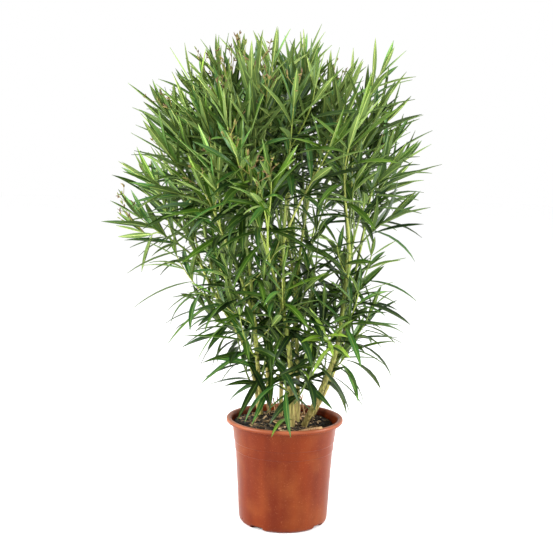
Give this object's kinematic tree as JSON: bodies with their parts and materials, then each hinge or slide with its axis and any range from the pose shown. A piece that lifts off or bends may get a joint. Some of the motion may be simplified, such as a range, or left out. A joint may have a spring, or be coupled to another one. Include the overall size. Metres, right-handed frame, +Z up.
{
  "type": "potted oleander",
  "caption": "Bushy oleander shrub with slender upright stems and whorls of narrow leaves, growing in a round tapered terracotta-coloured plastic nursery pot.",
  "frame": {"origin": "middle of the flat underside of the pot, on the surface it stands on", "axes": "+Z up along the pot's axis, -Y towards the viewer, +X to the viewer's right"},
  "size_m": [0.7094, 0.7059, 1.0111],
  "materials": {
    "pot": "satin terracotta-coloured polypropylene",
    "compost": "moist bark compost",
    "stem": "smooth green-tan bark",
    "bough": "smooth young green bark",
    "foliage": "leathery green leaves"
  },
  "bodies": {
    "root": {"bough_back_high": "bough", "bough_back_low": "bough", "bough_front_high": "bough", "bough_front_low": "bough", "bough_left_back_high": "bough", "bough_left_back_low": "bough", "bough_left_front_high": "bough", "bough_left_front_low": "bough", "bough_left_high": "bough", "bough_left_low": "bough", "bough_middle_back_back": "bough", "bough_middle_back_front": "bough", "bough_middle_front_back": "bough", "bough_middle_front_front": "bough", "bough_right_back_high": "bough", "bough_right_back_low": "bough", "bough_right_front_high": "bough", "bough_right_front_low": "bough", "compost": "compost", "foliage_back_foot": "foliage", "foliage_back_high": "foliage", "foliage_back_low": "foliage", "foliage_front_foot": "foliage", "foliage_front_high": "foliage", "foliage_front_low": "foliage", "foliage_left_back_foot": "foliage", "foliage_left_back_high": "foliage", "foliage_left_back_low": "foliage", "foliage_left_foot": "foliage", "foliage_left_front_foot": "foliage", "foliage_left_front_high": "foliage", "foliage_left_front_low": "foliage", "foliage_left_high": "foliage", "foliage_left_low": "foliage", "foliage_middle_back_back": "foliage", "foliage_middle_back_foot": "foliage", "foliage_middle_back_front": "foliage", "foliage_middle_front_back": "foliage", "foliage_middle_front_foot": "foliage", "foliage_middle_front_front": "foliage", "foliage_right_back_foot": "foliage", "foliage_right_back_high": "foliage", "foliage_right_back_low": "foliage", "foliage_right_front_foot": "foliage", "foliage_right_front_high": "foliage", "foliage_right_front_low": "foliage", "pot": "pot", "stem_back": "stem", "stem_front": "stem", "stem_left": "stem", "stem_left_back": "stem", "stem_left_front": "stem", "stem_middle_back": "stem", "stem_middle_front": "stem", "stem_right_back": "stem", "stem_right_front": "stem"}
  },
  "joints": []
}
